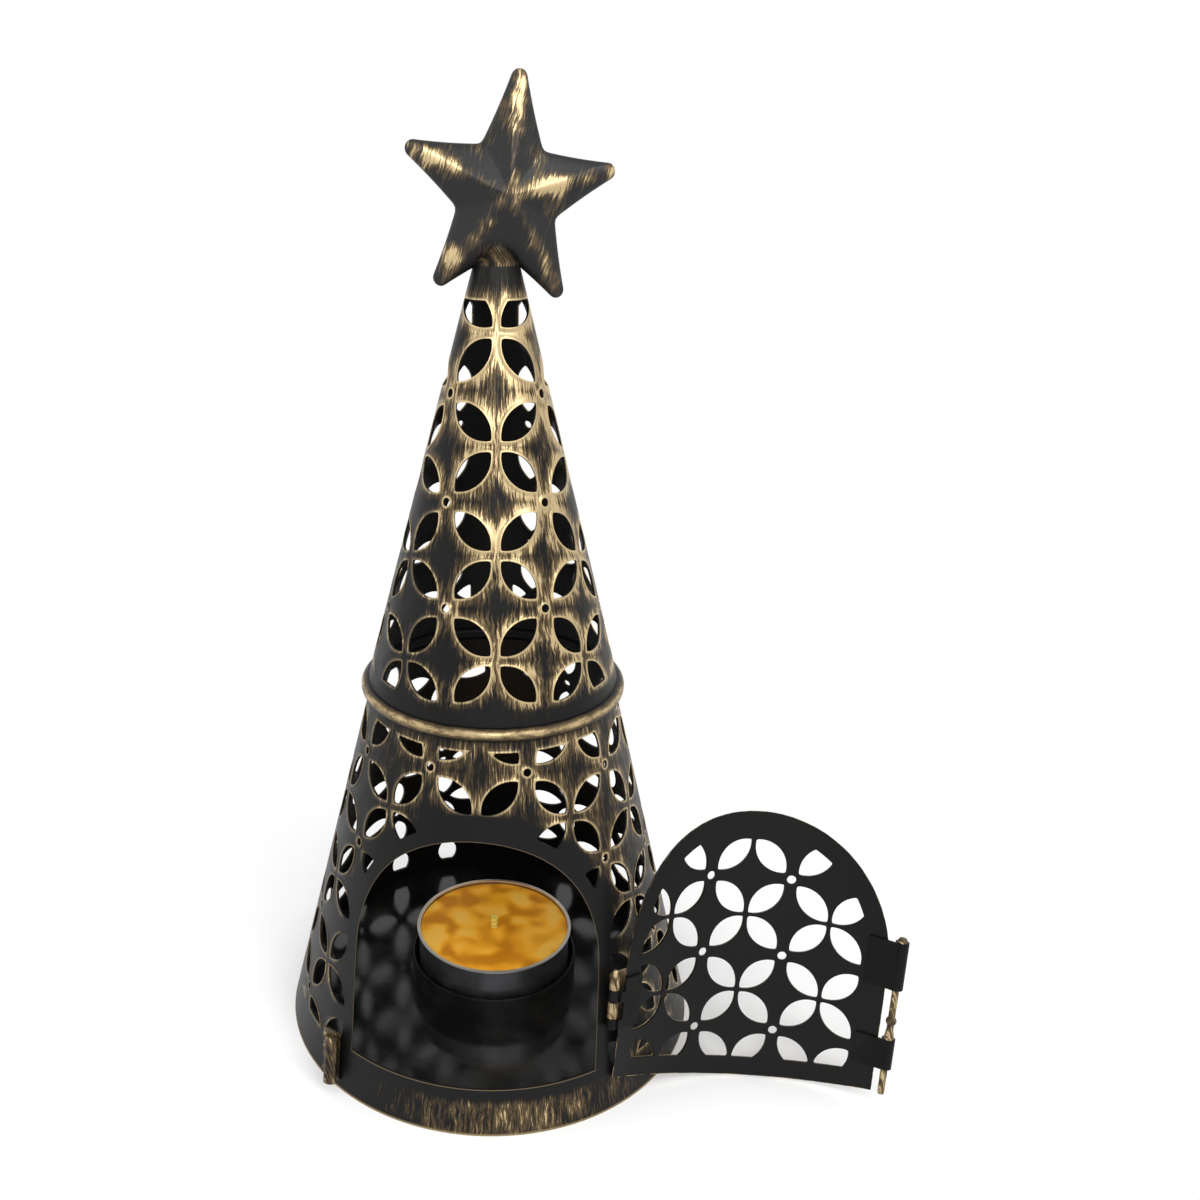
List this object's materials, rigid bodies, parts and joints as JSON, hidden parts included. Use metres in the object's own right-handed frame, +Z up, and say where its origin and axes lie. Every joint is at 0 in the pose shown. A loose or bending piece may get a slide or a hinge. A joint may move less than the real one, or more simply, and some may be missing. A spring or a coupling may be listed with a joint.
{
  "type": "punched tin candle lantern",
  "caption": "Tree-shaped punched tin tealight lantern: two conical lattice shells, wire ring, star on top, hinged arched door with drop bolt, tealight inside.",
  "frame": {"origin": "middle of the base on the ground", "axes": "+Z up, the doorway faces -Y, the hinge is on the +X side of the doorway"},
  "size_m": [0.1426, 0.0995, 0.2032],
  "materials": {
    "tin_black_gold": "satin black brushed with gold",
    "candle_cup": "bright rolled",
    "candle_wax": "waxy",
    "candle_wick": "waxed cotton",
    "candle_tab": "plain"
  },
  "bodies": {
    "frame": {"lower_cone": "tin_black_gold", "upper_cone": "tin_black_gold", "joint_ring": "tin_black_gold", "top_plug": "tin_black_gold", "star_front": "tin_black_gold", "star_back": "tin_black_gold", "floor_pan": "tin_black_gold", "candle_ring": "tin_black_gold", "body_hinge_leaf": "tin_black_gold", "hinge_pin": "tin_black_gold", "latch_catch": "tin_black_gold"},
    "door": {"door_panel": "tin_black_gold", "door_hinge_leaf": "tin_black_gold", "upper_sleeve": "tin_black_gold", "lower_sleeve": "tin_black_gold"},
    "bolt": {"latch_rod": "tin_black_gold"},
    "tealight": {"tealight_cup": "candle_cup", "tealight_wax": "candle_wax", "tealight_wick": "candle_wick", "wick_tab": "candle_tab"}
  },
  "joints": [
    {"name": "door_hinge", "type": "hinge", "parent": "frame", "child": "door", "pos_m": [0.0303, -0.03289, 0.02574], "axis": [0.0193, 0.2769, 0.9607], "range_deg": [-188.7, 0]},
    {"name": "bolt_lift", "type": "slide", "parent": "door", "child": "bolt", "axis": [0.0152, 0.2305, 0.973], "range_m": [0, 0.0066]},
    {"name": "tealight_lift", "type": "slide", "parent": "frame", "child": "tealight", "axis": [0, 0, 1], "range_m": [0, 0.012]}
  ]
}
